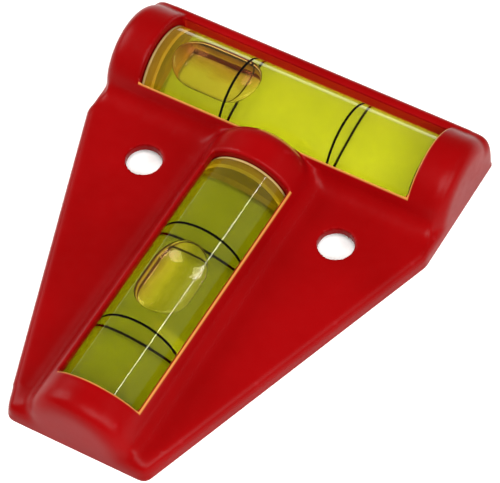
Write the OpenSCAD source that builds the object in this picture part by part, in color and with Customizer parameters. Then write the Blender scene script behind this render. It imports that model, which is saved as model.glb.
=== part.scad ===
// T-shaped bubble level: a moulded tray with two half-round vials at right angles.
// Frame: the back face lies on z = 0 and faces down, the head of the T runs along X,
// the stem points along -Y, and the origin is under the middle of the outline.

/* [Vials] */
// Radius of a vial's half-round top
vial_radius = 6.1; // [5:0.1:7]
// Height of a vial's straight sides, under the half round
vial_foot = 1; // [0.5:0.1:1.5]
// Length of a vial, from its closed end to the outside of its cap
vial_length = 40.6; // [38:0.1:46]
// Thickness of the clear wall, all along a vial
vial_wall = 0.9; // [0.7:0.1:1.2]
// Thickness of the closed end
vial_end_wall = 1.5; // [1:0.25:2.5]
// How much the bore narrows from between the level lines to the cap
bore_crown = 0.25; // [0.1:0.05:0.4]
// Thickness of the cap outside the barrel
cap_flange = 0.8; // [0.6:0.1:1.5]
// Depth of the cap's spigot inside the barrel
cap_spigot = 0.8; // [0.5:0.1:1.5]
// Gap between the cap's spigot and the bore
cap_clearance = 0.03; // [0.02:0.01:0.1]
// Gap between a vial and its pocket in the body
vial_clearance = 0.15; // [0.1:0.05:0.3]
// Height of a vial's flat underside above the back face
vial_seat = 1.1; // [1:0.1:2]

/* [Level lines] */
// Distance of the middle between the two lines from the closed end
line_middle = 19.7; // [17:0.1:21]
// Distance between the two lines of a vial
line_pitch = 15.9; // [13:0.1:18]
// Width of a line
line_width = 0.5; // [0.3:0.05:0.8]
// Depth of the groove that holds a line
line_depth = 0.2; // [0.1:0.05:0.3]
// Gap between a line and its groove
line_clearance = 0.01; // [0.01:0.01:0.03]

/* [Bubbles] */
// Length of the head vial's bubble
head_bubble_length = 12.5; // [10:0.5:13.5]
// Length of the stem vial's bubble
stem_bubble_length = 11.5; // [10:0.5:15]
// Depth of a bubble under the top of the bore
bubble_depth = 2.8; // [2:0.1:3.2]
// Radius of a bubble's underside
bubble_radius = 4.5; // [4:0.1:5]
// Place of the head bubble, from the middle between its lines
head_bubble_place = -11.3; // [-11.8:0.1:12]
// Place of the stem bubble, from the middle between its lines
stem_bubble_place = -0.5; // [-12:0.1:13]
// Gap between a bubble and what is round it
bubble_clearance = 0.15; // [0.1:0.05:0.25]
// Gap between the liquid and the wall that holds it
liquid_clearance = 0.02; // [0.01:0.01:0.04]

/* [Body] */
// Depth of the full-width head, from the back edge
head_depth = 18.4; // [17:0.1:24]
// Room between the head ridge and the back edge
back_margin = 0.15; // [0.1:0.05:3]
// Room between the head vial and the stem vial's closed end
vial_gap = 5.8; // [5:0.05:9]
// Room between the head vial's cap and the right edge
head_end_wall = 4.1; // [3.4:0.05:7]
// Room between the stem vial's cap and the stem end
stem_end_wall = 2.5; // [1.5:0.05:4]
// Room between the stem ridge and the corner of the stem end
stem_margin = 2.7; // [1:0.05:5]
// Height of the tray, from the back face to the top of the web
tray_height = 2.6; // [2.4:0.1:4]
// Thickness of the web
web_thickness = 1.2; // [1:0.1:1.8]
// Thickness of the rim round the tray
rim_wall = 1.6; // [1.2:0.1:2]
// Radius of the outline's corners
corner_radius = 1.25; // [1.25:0.25:4]
// Radius of the tray's upper edge
edge_radius = 1.2; // [0.5:0.1:1.2]
// Thickness of the ridge over a vial
ridge_wall = 1.05; // [0.8:0.05:1.4]
// How far the head ridge sits behind its vial's middle, for a stronger back wall
ridge_shift = 0.35; // [0:0.05:0.4]
// Radius of the ridges' end edges
ridge_end_radius = 2; // [1:0.25:2.5]
// How far a ridge's end stands back from the rim
ridge_inset = 0.1; // [0.05:0.05:0.6]
// Height of the head's upright back wall
back_height = 6.1; // [5:0.1:6.5]
// Radius of the back wall's upper edge
back_radius = 1.2; // [0.4:0.1:1.4]
// Radius of the hollow blend between a ridge and the web
blend_radius = 3; // [1:0.25:3.5]
// Thickness of the walls round the hollows in the solid ends of the ridges
core_wall = 1.3; // [1:0.1:1.5]

/* [Windows] */
// How far the window's long edges overhang the vial
window_lip = 0.15; // [0.1:0.05:1.5]
// Length of the head window
head_window_length = 39.6; // [30:0.2:39.6]
// Length of the stem window
stem_window_length = 38; // [30:0.2:38.4]

/* [Snap lugs] */
// How far a lug reaches under the vial
lug_reach = 0.5; // [0.3:0.05:0.8]
// Length of a lug
lug_length = 5; // [3:0.5:8]
// Height of a lug
lug_height = 0.8; // [0.6:0.1:0.9]
// Distance between the two lugs on a side
lug_pitch = 22; // [16:1:26]
// Gap between a lug and the vial's underside
lug_clearance = 0.05; // [0.03:0.01:0.1]

/* [Screw holes] */
// Diameter of the two screw holes
hole_diameter = 4.8; // [3.5:0.1:5.5]
// Distance between the two screw holes
hole_spacing = 28.4; // [26:0.1:32]
// Distance of the holes from the front of the head ridge
hole_gap = 7.4; // [5.5:0.05:9]

/* [Hidden] */
$fn = 96;
hull_sides = 32;
arc_steps = 8;
bore_steps = 10;
through = 1;
root_overlap = 0.05;
red = [0.66, 0.02, 0.03];
clear = [0.9, 0.93, 0.86, 0.4];
yellow_green = [0.78, 0.84, 0.1, 0.7];
air = [1, 1, 0.95, 0.5];

vial_z = vial_seat + vial_foot;
pocket_radius = vial_radius + vial_clearance;
ridge_radius = pocket_radius + ridge_wall;
barrel_length = vial_length - cap_flange;
bore_radius = vial_radius - vial_wall;
bore_end_radius = bore_radius - bore_crown;
chamber_end = barrel_length - cap_spigot;

head_setback = back_margin + ridge_radius + ridge_shift;
stem_setback = head_setback + vial_radius + vial_gap;
body_length = stem_setback + vial_length + vial_clearance + stem_end_wall;
body_width = 2 * (vial_length - line_middle + vial_clearance + head_end_wall);
stem_end_width = 2 * (ridge_radius + stem_margin);
back_y = body_length / 2;
head_y = back_y - head_setback;
stem_y = back_y - stem_setback;
shoulder_y = back_y - head_depth;
hole_y = head_y + ridge_shift - ridge_radius - hole_gap;
taper = atan((body_width - stem_end_width) / 2 / (body_length - head_depth));
tray_ceiling = tray_height - web_thickness;
window_half = vial_radius - window_lip;

// Middles of the outline's rounded corners on the right side, from the stem end to the back
corners = [
    [stem_end_width / 2 + corner_radius * (tan(taper) - 1 / cos(taper)), corner_radius - back_y],
    [body_width / 2 - corner_radius, shoulder_y + corner_radius * tan(taper / 2)],
    [body_width / 2 - corner_radius, back_y - corner_radius]
];

function arc(x, y, r, from, to) =
    [for (i = [0 : arc_steps]) let (a = from + (to - from) * i / arc_steps) [x + r * cos(a), y + r * sin(a)]];

// Radius of the bore at a distance from the closed end: widest between the lines
function bore_at(u, gap) =
    bore_radius - gap - bore_crown * pow((u - line_middle) / (barrel_length - line_middle), 2);

// Moves a vial's own frame to its place in the head or the stem. There, u runs along +X from the
// closed end, and the middle of the half round is at height 0.
module at_head() {
    translate([-line_middle, head_y, vial_z]) children();
}

module at_head_ridge() {
    translate([0, ridge_shift, 0]) at_head() children();
}

module at_stem() {
    translate([0, stem_y, vial_z]) rotate([0, 0, -90]) children();
}

// Draws a section along u, with its first axis across the vial and its second one up
module along(from, to) {
    translate([from, 0, 0]) rotate([90, 0, 90]) linear_extrude(to - from) children();
}

// Round section cut off flat at a height
module cut_round(radius, floor_height) {
    intersection() {
        circle(radius);
        translate([-radius, floor_height]) square([2 * radius, 2 * radius]);
    }
}

// Half-round section on straight sides that go down to a depth
module arched(radius, depth) {
    cut_round(radius, 0);
    translate([-radius, -depth]) square([2 * radius, depth]);
}

// Crowned bore between two places along u
module chamber(from, to, gap) {
    floor_height = vial_wall - vial_foot + gap;
    span = to - from;
    intersection() {
        rotate([0, 90, 0]) rotate_extrude() polygon(concat(
            [[0, from]],
            [for (i = [0 : bore_steps]) let (u = from + span * i / bore_steps) [bore_at(u, gap), u]],
            [[0, to]]
        ));
        translate([from - through, -vial_radius, floor_height])
            cube([span + 2 * through, 2 * vial_radius, 2 * vial_radius]);
    }
}

// Band of a level line round the whole section, for the groove or the line in it
module line_band(side, outer, gap) {
    u = line_middle + side * line_pitch / 2;
    half = line_width / 2 - gap;
    along(u - half, u + half) difference() {
        arched(vial_radius + outer, vial_foot + outer);
        arched(vial_radius - line_depth + gap, vial_foot - line_depth + gap);
    }
}

module barrel() {
    color(clear) difference() {
        along(0, barrel_length) arched(vial_radius, vial_foot);
        chamber(vial_end_wall, barrel_length + through, 0);
        for (side = [-1, 1]) line_band(side, through, 0);
    }
}

module cap() {
    color(clear) {
        along(barrel_length, vial_length) arched(vial_radius, vial_foot);
        along(chamber_end, barrel_length)
            cut_round(bore_end_radius - cap_clearance, vial_wall - vial_foot + cap_clearance);
    }
}

// Rounded trough whose middle lies over the top of the bore
module bubble_trough(length, grow) {
    crown = bore_end_radius - bubble_clearance;
    lift = crown - bubble_depth + bubble_radius;
    reach = sqrt(pow(bubble_radius, 2) - pow(lift - crown, 2));
    run = length - 2 * reach;
    translate([-run / 2, 0, lift]) {
        rotate([0, 90, 0]) cylinder(h = run, r = bubble_radius + grow);
        for (u = [0, run]) translate([u, 0, 0]) sphere(bubble_radius + grow);
    }
}

module bubble(length, place) {
    crown = bore_end_radius - bubble_clearance;
    color(air) translate([line_middle + place, 0, 0]) intersection() {
        bubble_trough(length, 0);
        translate([-length, 0, 0]) rotate([0, 90, 0]) cylinder(h = 2 * length, r = crown);
    }
}

module liquid(bubble_length, place) {
    color(yellow_green) difference() {
        chamber(vial_end_wall + liquid_clearance, chamber_end - liquid_clearance, liquid_clearance);
        translate([line_middle + place, 0, 0]) bubble_trough(bubble_length, bubble_clearance);
    }
}

module line(side) {
    color("black") line_band(side, 0, line_clearance);
}

// Puck with a rounded upper edge, for a corner of the tray
module corner_puck() {
    rotate_extrude($fn = hull_sides) polygon(concat(
        [[0, 0], [corner_radius, 0]],
        arc(corner_radius - edge_radius, tray_height - edge_radius, edge_radius, 0, 90),
        [[0, tray_height]]
    ));
}

module at_corners() {
    for (c = corners, side = [-1, 1]) translate([side * c[0], c[1], 0]) children();
}

module tray() {
    difference() {
        hull() at_corners() corner_puck();
        translate([0, 0, -through]) linear_extrude(tray_ceiling + through) offset(delta = -rim_wall)
            hull() at_corners() circle(corner_radius, $fn = hull_sides);
    }
}

// Half-round ridge over a vial, with rounded ends, and straight sides down to the back face
module ridge(from, to) {
    bevel = ridge_end_radius;
    side = concat(
        [[0, from]],
        arc(ridge_radius - bevel, from + bevel, bevel, -90, 0),
        arc(ridge_radius - bevel, to - bevel, bevel, 0, 90),
        [[0, to]]
    );
    intersection() {
        rotate([0, 90, 0]) rotate_extrude() polygon(side);
        translate([from - through, -2 * ridge_radius, 0])
            cube([to - from + 2 * through, 4 * ridge_radius, 2 * ridge_radius]);
    }
    for (turn = [0, 1]) mirror([0, turn, 0]) translate([0, 0, -vial_z])
        linear_extrude(vial_z) polygon([for (p = side) [p[1], p[0]]]);
}

// Upright wall behind the head ridge, with a rounded upper edge
module back_wall(from, to) {
    sunk = 0.02;
    edge = ridge_radius + back_margin - sunk;
    top = back_height - vial_z;
    along(from, to) polygon(concat(
        [[0, sunk - vial_z], [edge, sunk - vial_z]],
        arc(edge - back_radius, top - back_radius, back_radius, 0, 90),
        [[0, top]]
    ));
}

// Hollow blend on both sides of a ridge, where it stands on the web
module ridge_blend(from, to) {
    sunk = 0.02;
    web = tray_height - vial_z - sunk;
    reach = ridge_radius - sunk + blend_radius;
    middle = [sqrt(pow(reach, 2) - pow(web + blend_radius, 2)), web + blend_radius];
    lean = atan2(middle[1], middle[0]);
    foot = web - web_thickness / 2;
    for (side = [0, 1]) mirror([0, side, 0]) along(from, to) polygon(concat(
        [[0, foot], [middle[0], foot]],
        arc(middle[0], middle[1], blend_radius, 270, 180 + lean),
        [[0, (ridge_radius - sunk) * sin(lean)]]
    ));
}

// Everything under the outline, with the rim's rounded edge left clear
module over_tray() {
    linear_extrude(4 * ridge_radius) hull() at_corners()
        circle(corner_radius - edge_radius / 2, $fn = hull_sides);
}

module pocket() {
    along(-vial_clearance, vial_length + vial_clearance) arched(pocket_radius, vial_z + through);
}

// Hollow from below in the solid end of a ridge
module core(from, to) {
    along(from, to) arched(pocket_radius - core_wall, vial_z + through);
}

module window(from, to) {
    translate([from, -window_half, 0]) cube([to - from, 2 * window_half, 2 * ridge_radius]);
}

// Levels the back wall behind the head window
module back_ledge(from, to) {
    translate([from, 0, back_height - vial_z]) cube([to - from, 2 * ridge_radius, 2 * ridge_radius]);
}

module lugs() {
    edge = pocket_radius - lug_reach;
    root = pocket_radius + ridge_wall / 2;
    for (u = [-1, 1], side = [0, 1])
        translate([vial_length / 2 + u * lug_pitch / 2 - lug_length / 2, 0, -vial_foot - lug_clearance])
            mirror([0, side, 0]) along(0, lug_length) polygon([
                [root, 0], [edge, 0], [edge, -lug_height / 3], [pocket_radius, -lug_height], [root, -lug_height]
            ]);
}

module body() {
    head_left = line_middle - body_width / 2;
    head_right = line_middle + body_width / 2;
    stem_end = stem_y + back_y;
    stem_root = stem_y - head_y + window_half - root_overlap;
    head_window = line_middle - head_window_length / 2;
    color(red) {
        difference() {
            union() {
                tray();
                at_head_ridge() ridge(head_left + ridge_inset, head_right - ridge_inset);
                at_head_ridge() back_wall(head_left + ridge_inset, head_right - ridge_inset);
                at_stem() ridge(stem_root, stem_end - ridge_inset);
                intersection() {
                    over_tray();
                    union() {
                        at_head_ridge() ridge_blend(head_left, head_right);
                        at_stem() ridge_blend(stem_root, stem_end);
                    }
                }
            }
            at_head() {
                pocket();
                window(head_window, head_window + head_window_length);
                back_ledge(head_window, head_window + head_window_length);
                core(head_left + ridge_inset + core_wall, -vial_clearance - core_wall);
                core(vial_length + vial_clearance + core_wall, head_right - ridge_inset - core_wall);
            }
            at_stem() {
                pocket();
                window(0, stem_window_length);
                core(core_wall - vial_gap + vial_clearance, -vial_clearance - core_wall);
            }
            for (side = [-1, 1])
                translate([side * hole_spacing / 2, hole_y, -through])
                    cylinder(h = tray_height + 2 * through, d = hole_diameter);
        }
        at_head() lugs();
        at_stem() lugs();
    }
}

module head_barrel() { at_head() barrel(); }
module head_cap() { at_head() cap(); }
module head_liquid() { at_head() liquid(head_bubble_length, head_bubble_place); }
module head_bubble() { at_head() bubble(head_bubble_length, head_bubble_place); }
module head_line_left() { at_head() line(-1); }
module head_line_right() { at_head() line(1); }
module stem_barrel() { at_stem() barrel(); }
module stem_cap() { at_stem() cap(); }
module stem_liquid() { at_stem() liquid(stem_bubble_length, stem_bubble_place); }
module stem_bubble() { at_stem() bubble(stem_bubble_length, stem_bubble_place); }
module stem_line_far() { at_stem() line(-1); }
module stem_line_near() { at_stem() line(1); }

body();
head_barrel();
head_cap();
head_liquid();
head_bubble();
head_line_left();
head_line_right();
stem_barrel();
stem_cap();
stem_liquid();
stem_bubble();
stem_line_far();
stem_line_near();
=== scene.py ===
# %% [markdown]
# # A T-shaped bubble level
# The level is one red moulding with two clear half-round vials at right angles. Its imported solids
# are loaded first, and most are hidden once a modelled piece takes their place.

# %% Load the frame
import math

import bmesh
import bpy
from mathutils import Matrix, Vector


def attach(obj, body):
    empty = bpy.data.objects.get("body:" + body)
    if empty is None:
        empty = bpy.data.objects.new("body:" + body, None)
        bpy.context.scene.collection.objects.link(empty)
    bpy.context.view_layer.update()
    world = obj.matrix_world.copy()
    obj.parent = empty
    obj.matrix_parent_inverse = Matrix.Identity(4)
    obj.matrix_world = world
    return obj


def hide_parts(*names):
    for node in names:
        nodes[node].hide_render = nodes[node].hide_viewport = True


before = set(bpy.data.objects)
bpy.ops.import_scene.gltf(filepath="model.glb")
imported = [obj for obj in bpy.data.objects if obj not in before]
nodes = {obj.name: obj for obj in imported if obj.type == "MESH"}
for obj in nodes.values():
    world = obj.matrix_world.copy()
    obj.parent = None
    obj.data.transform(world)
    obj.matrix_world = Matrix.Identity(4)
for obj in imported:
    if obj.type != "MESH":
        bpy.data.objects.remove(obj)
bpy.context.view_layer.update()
scene = bpy.context.scene
MM = 0.001

# %% [markdown]
# ## The camera
# The photograph is taken from above the level's right front corner with a long lens, so its edges stay
# nearly parallel. A camera that looks along one direction needs only a direction, a distance and a roll:
# `to_track_quat` turns the camera's own -Z axis that way, and the roll follows about the same axis.

# %% Place the camera
AZIMUTH = math.radians(32.95)
ELEVATION = math.radians(54.8)
ROLL = math.radians(-4)
DISTANCE = 450 * MM
NEAREST = 10 * MM
AIM = Vector((3.41, 5.985, 0)) * MM
FOCAL_PIXELS = 3515
FRAME_WIDTH = 500


def bearing(azimuth, elevation):
    """The direction from the level towards something at that azimuth and elevation."""
    flat = math.cos(elevation)
    return Vector((math.sin(azimuth) * flat, -math.cos(azimuth) * flat, math.sin(elevation)))


def facing(place, target, roll=0):
    """The matrix of a camera or lamp that stands at a place and looks at a target."""
    turn = (target - place).to_track_quat("-Z", "Y").to_matrix().to_4x4()
    return Matrix.Translation(place) @ turn @ Matrix.Rotation(roll, 4, "Z")


bpy.ops.object.camera_add()
camera = bpy.context.object
camera.matrix_world = facing(AIM + bearing(AZIMUTH, ELEVATION) * DISTANCE, AIM, ROLL)
camera.data.lens = FOCAL_PIXELS / FRAME_WIDTH * camera.data.sensor_width
camera.data.clip_start = NEAREST
scene.camera = camera
print("lens", round(camera.data.lens, 1), "mm")

# %% [markdown]
# ## Node helpers
# Every finish is a small node tree. Two helpers keep those trees short to read: one adds a node with its
# settings and socket values, the other draws a wire. The next ones make noise and put it to use.

# %% Helpers for nodes
def new_finish(name):
    """A new material with its Principled shader, to be wired up."""
    material = bpy.data.materials.new(name)
    material.use_nodes = True
    return material, material.node_tree.nodes["Principled BSDF"]


def node(owner, kind, values=None, **settings):
    """Adds a node to a material or world, with socket values by name or number."""
    made = owner.node_tree.nodes.new(kind)
    for key, value in settings.items():
        setattr(made, key, value)
    for key, value in (values or {}).items():
        made.inputs[key].default_value = value
    return made


def wire(owner, source, target):
    """Draws a wire from an output to an input."""
    owner.node_tree.links.new(source, target)


print("helpers for nodes ready")

# %% Helpers for noise
NOISE_LOW = 0.3
NOISE_HIGH = 0.7


def noise(owner, scale, detail=2.0):
    """Noise on the piece's own metres: a scale of 1000 gives grains of about a millimetre."""
    place = node(owner, "ShaderNodeTexCoord")
    grain = node(owner, "ShaderNodeTexNoise", {"Scale": scale, "Detail": detail})
    wire(owner, place.outputs["Object"], grain.inputs["Vector"])
    return grain.outputs["Fac"]


def ramped(owner, value, start, end, first=0, last=1):
    """A number that goes from first to last while a value goes from start to end."""
    ramp = node(owner, "ShaderNodeMapRange", {1: start, 2: end, 3: first, 4: last})
    wire(owner, value, ramp.inputs["Value"])
    return ramp.outputs["Result"]


def between(owner, grain, low, high):
    """Noise spread between two numbers."""
    return ramped(owner, grain, NOISE_LOW, NOISE_HIGH, low, high)


def blended(owner, grain, first, second):
    """Two colours mixed by noise."""
    ramp = node(owner, "ShaderNodeValToRGB")
    start, end = ramp.color_ramp.elements
    start.position = NOISE_LOW
    start.color = (*first, 1)
    end.position = NOISE_HIGH
    end.color = (*second, 1)
    wire(owner, grain, ramp.inputs["Fac"])
    return ramp.outputs["Color"]


def bumped(owner, grain, strength, height):
    """Noise as a fine relief."""
    bump = node(owner, "ShaderNodeBump", {"Strength": strength, "Distance": height})
    wire(owner, grain, bump.inputs["Height"])
    return bump.outputs["Normal"]


print("noise lies mostly between", NOISE_LOW, "and", NOISE_HIGH)

# %% [markdown]
# ## Regions of a piece
# Some finishes change from place to place: the lip of a window isn't the colour of the web. A mask says
# where. It is worked out from the piece's own coordinates with Math nodes, so it needs no picture, and it
# stays where it is when the level is turned. Multiplying masks keeps what they share, and the larger
# of them takes in both.

# %% Helpers for masks
def coordinates(owner, kind="Object"):
    """The x, y and z of a place on the piece in metres, or of its normal."""
    spot = node(owner, "ShaderNodeTexCoord")
    split = node(owner, "ShaderNodeSeparateXYZ")
    wire(owner, spot.outputs[kind], split.inputs["Vector"])
    return split.outputs


def worked_out(owner, operation, *terms):
    """A Math node on sockets or plain numbers."""
    made = node(owner, "ShaderNodeMath", operation=operation)
    for number, term in enumerate(terms):
        if isinstance(term, (int, float)):
            made.inputs[number].default_value = term
        else:
            wire(owner, term, made.inputs[number])
    return made.outputs["Value"]


def masked(owner, operation, *masks):
    """Several masks as one: MULTIPLY keeps what they share, MAXIMUM takes in all of them."""
    whole = masks[0]
    for mask in masks[1:]:
        whole = worked_out(owner, operation, whole, mask)
    return whole


def within(owner, value, low, high, unit=MM):
    """1 where a value lies between two places, in millimetres unless a unit is given, 0 elsewhere."""
    above = worked_out(owner, "GREATER_THAN", value, low * unit)
    below = worked_out(owner, "LESS_THAN", value, high * unit)
    return masked(owner, "MULTIPLY", above, below)


def painted(owner, under, mask, colour):
    """A colour laid over another one, as far as a mask lets it."""
    over = node(owner, "ShaderNodeMix", data_type="RGBA")
    over.inputs["B"].default_value = (*colour, 1)
    wire(owner, mask, over.inputs["Factor"])
    wire(owner, under, over.inputs["A"])
    return over.outputs["Result"]


print("helpers for masks ready")

# %% [markdown]
# ## Floor and light
# The level lies on bright white paper, in soft light. The web's mirror direction has to stay dark, or the
# deep red would turn pink, so the light comes from soft boxes at the sides and in front. Behind there are
# only a narrow tube, which draws the thin bright line along the stem's vial, and a pale card.

# %% Make the floor
PAPER_DULL = (0.88, 0.88, 0.88)
PAPER_BRIGHT = (0.92, 0.92, 0.92)
bpy.ops.mesh.primitive_plane_add(size=6)
floor = bpy.context.object
floor.name = "floor"
paper, shader = new_finish("white_paper")
white = blended(paper, noise(paper, 40), PAPER_DULL, PAPER_BRIGHT)
wire(paper, white, shader.inputs["Base Color"])
shader.inputs["Roughness"].default_value = 1
shader.inputs["Specular IOR Level"].default_value = 0
floor.data.materials.append(paper)
print("floor", tuple(round(x, 2) for x in floor.dimensions))

# %% Set the lamps
# Each lamp has a direction, a distance, a width and height, its watts and a turn in degrees.
LAMPS = {
    "back_tube": ((0.542, 0.453, 0.708), 0.6, (0.086, 0.016), 0.07, -46),
    "back_card": ((0.77, 0.48, 0.41), 0.7, (0.3, 0.62), 0.1, 0),
    "left_box": ((-0.8, 0, 0.6), 0.7, (0.4, 0.4), 5.0, 0),
    "right_box": ((0.77, -0.2, 0.6), 0.7, (0.4, 0.4), 4.5, 0),
    "front_box": ((0.27, -0.43, 0.86), 0.9, (0.5, 0.5), 8.5, 0),
}
for name, (toward, away, size, watts, turn) in LAMPS.items():
    bpy.ops.object.light_add(type="AREA")
    light = bpy.context.object
    light.name = name
    place = Vector(toward).normalized() * away
    light.matrix_world = facing(place, Vector(), math.radians(turn))
    light.data.shape = "RECTANGLE"
    light.data.size, light.data.size_y = size
    light.data.energy = watts
    print(name, tuple(round(x, 2) for x in light.location))

# %% Set the room
ROOM_SEEN = 1.0
ROOM_LIGHT = 0.3
ROOM_TINT = (1, 0.8, 0.55, 1)
room = bpy.data.worlds.new("room")
scene.world = room
room.use_nodes = True
dim = room.node_tree.nodes["Background"]
dim.inputs["Strength"].default_value = ROOM_LIGHT
dim.inputs["Color"].default_value = ROOM_TINT
pale = node(room, "ShaderNodeBackground", {"Strength": ROOM_SEEN, "Color": (1, 1, 1, 1)})
rays = node(room, "ShaderNodeLightPath")
shown = node(room, "ShaderNodeMixShader")
wire(room, rays.outputs["Is Camera Ray"], shown.inputs["Fac"])
wire(room, dim.outputs["Background"], shown.inputs[1])
wire(room, pale.outputs["Background"], shown.inputs[2])
wire(room, shown.outputs["Shader"], room.node_tree.nodes["World Output"].inputs["Surface"])
scene.view_settings.view_transform = "Standard"
print("room light", ROOM_LIGHT)

# %% [markdown]
# ## Modelling helpers
# The pieces are small, and Blender's tools like sizes near one unit. So each piece is modelled with one
# unit to the millimetre, and `finish_piece` shrinks it when it is done. The other helpers do what a hand
# does with the mouse: pick a piece, open it with some of its faces, edges or corners selected, round or
# move those, place a piece, or cut it with another.

# %% Helpers to pick and open
def pick(*pieces):
    """Selects these pieces and nothing else. The first one is the active one."""
    bpy.ops.object.select_all(action="DESELECT")
    for piece in pieces:
        piece.select_set(True)
    bpy.context.view_layer.objects.active = pieces[0]


def open_with(piece, kind="FACE", wanted=None):
    """Opens a piece in edit mode with the wanted corners, edges or faces selected, or all of them."""
    pick(piece)
    bpy.ops.object.mode_set(mode="EDIT")
    bpy.ops.mesh.select_mode(type=kind)
    bpy.ops.mesh.select_all(action="DESELECT" if wanted else "SELECT")
    if wanted:
        mesh = bmesh.from_edit_mesh(piece.data)
        for item in {"VERT": mesh.verts, "EDGE": mesh.edges, "FACE": mesh.faces}[kind]:
            if wanted(item):
                item.select_set(True)
        mesh.select_flush_mode()
        bmesh.update_edit_mesh(piece.data)


def close():
    """Leaves edit mode."""
    bpy.ops.object.mode_set(mode="OBJECT")


print("helpers to pick ready")

# %% Helpers to shape
TOUCH = 1e-3


def rounded(piece, wanted, size, segments=8, kind="EDGE"):
    """Bevels the wanted edges of a piece, or its wanted corners."""
    open_with(piece, kind, wanted)
    affect = {"EDGE": "EDGES", "VERT": "VERTICES"}[kind]
    bpy.ops.mesh.bevel(offset=size, segments=segments, affect=affect, profile=0.5)
    close()


def pulled(piece, wanted, by):
    """Moves the wanted corners of a piece."""
    open_with(piece, "VERT", wanted)
    bpy.ops.transform.translate(value=by)
    close()


def outward(piece):
    """Turns all the faces of a closed piece outwards."""
    open_with(piece)
    bpy.ops.mesh.normals_make_consistent(inside=False)
    close()


def refinish(piece, finish, wanted=None):
    """Gives the wanted faces of a piece one of its finishes."""
    open_with(piece, "FACE", wanted)
    piece.active_material_index = piece.data.materials.find(finish.name)
    bpy.ops.object.material_slot_assign()
    close()


print("places closer than", TOUCH, "mm count as one")

# %% Helpers to place and combine
def settle(piece):
    """Puts a piece's place, turn and scale into its mesh."""
    pick(piece)
    bpy.ops.object.transform_apply(location=True, rotation=True, scale=True)
    return piece


def added(primitive, **settings):
    """Adds a primitive with no other mesh selected, and puts its place and turn into its mesh."""
    pick(camera)
    primitive(**settings)
    return settle(bpy.context.object)


def moved(piece, by=(0, 0, 0), turn=0):
    """Turns a piece about the upright axis and then moves it."""
    piece.rotation_euler = (0, 0, math.radians(turn))
    piece.location = by
    return settle(piece)


def copy_of(piece):
    """A second piece with its own mesh."""
    pick(piece)
    bpy.ops.object.duplicate()
    return bpy.context.object


def apply_step(piece, kind, **settings):
    """Adds a modifier with these settings and applies it."""
    pick(piece)
    step = piece.modifiers.new(kind.title(), kind)
    for key, value in settings.items():
        setattr(step, key, value)
    bpy.ops.object.modifier_apply(modifier=step.name)


def combine(piece, tool, operation):
    """Joins a tool to a piece, cuts it away, or keeps what they share, and drops the tool."""
    apply_step(piece, "BOOLEAN", operation=operation, object=tool, solver="MANIFOLD")
    bpy.data.objects.remove(tool)


def gathered(pieces):
    """Several pieces as one object, without touching their faces."""
    pick(*pieces)
    bpy.ops.object.join()
    return bpy.context.object


print("helpers for pieces ready")

# %% Helpers to finish and count
def count(piece):
    """What a mesh holds: its triangles, and its edges that don't join two faces."""
    mesh = bmesh.new()
    mesh.from_mesh(piece.data)
    loose = sum(len(e.link_faces) != 2 for e in mesh.edges)
    triangles = sum(len(f.verts) - 2 for f in mesh.faces)
    mesh.free()
    return f"{piece.name}: {triangles} triangles, {loose} open edges"


def finish_piece(piece, name, body_name, node_name, slot, *finishes, crease=30):
    """Gives a modelled piece its name and size, its finish and its body, and hides the solid that it stands
    for.
    """
    piece.name = piece.data.name = name
    piece.scale = (MM, MM, MM)
    settle(piece)
    if finishes:
        piece.data.materials.clear()
    for finish in finishes:
        piece.data.materials.append(finish)
    pick(piece)
    bpy.ops.object.shade_smooth_by_angle(angle=math.radians(crease))
    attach(piece, body_name)
    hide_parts(node_name)
    print(count(piece))


print("helpers to finish ready")

# %% [markdown]
# ## The bars that everything starts from
# The ridges, the pockets under them and the vials share one section: half round on top of a flat. So one
# helper makes a round bar along X, another rounds its ends, and a third slices the bar in half and gives it
# a straight foot. Each end has its own radius, because the far end of the stem's ridge is rounder.

# %% Bars and blocks
SPARE = 1.0
BAR_SIDES = 128


def round_bar(start, end, radius, sides=BAR_SIDES):
    """A round bar along X, round the X axis."""
    return added(
        bpy.ops.mesh.primitive_cylinder_add,
        vertices=sides,
        radius=radius,
        depth=end - start,
        location=((start + end) / 2, 0, 0),
        rotation=(0, math.pi / 2, 0),
    )


def block(low, high):
    """A box between two corners."""
    low, high = Vector(low), Vector(high)
    return added(
        bpy.ops.mesh.primitive_cube_add, size=1, location=(low + high) / 2, scale=high - low
    )


def keep_above(piece, height):
    """Slices off what lies under a height."""
    open_with(piece)
    bpy.ops.mesh.bisect(
        plane_co=(0, 0, height), plane_no=(0, 0, 1), use_fill=True, clear_inner=True
    )
    close()
    return piece


print("bars have", BAR_SIDES, "sides")

# %% Round ends and feet
FLAT = 0.9


def round_ends(bar, radii, segments=8):
    """Rounds the rims at a bar's start and end, each with its own radius."""
    reach = [v.co.x for v in bar.data.vertices]
    for place, radius in zip((min(reach), max(reach)), radii):
        rounded(bar, lambda e: all(abs(v.co.x - place) < TOUCH for v in e.verts), radius, segments)


def arched_bar(start, end, radius, foot, rounding=None):
    """A half-round bar on a straight foot that goes down to a height under the axis."""
    bar = round_bar(start, end, radius)
    if rounding:
        round_ends(bar, rounding)
    keep_above(bar, 0)
    open_with(
        bar, "FACE", lambda f: abs(f.normal.z) > FLAT and abs(f.calc_center_median().z) < TOUCH
    )
    bpy.ops.mesh.extrude_region_move(TRANSFORM_OT_translate={"value": (0, 0, foot)})
    close()
    outward(bar)
    return bar


print("arched bars ready")

# %% [markdown]
# ## Measures
# These are the level's own sizes in millimetres. The vial's frame has X along the vial from its closed
# end, and its origin at the middle of the half round. The straight sides go down from there.

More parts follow.
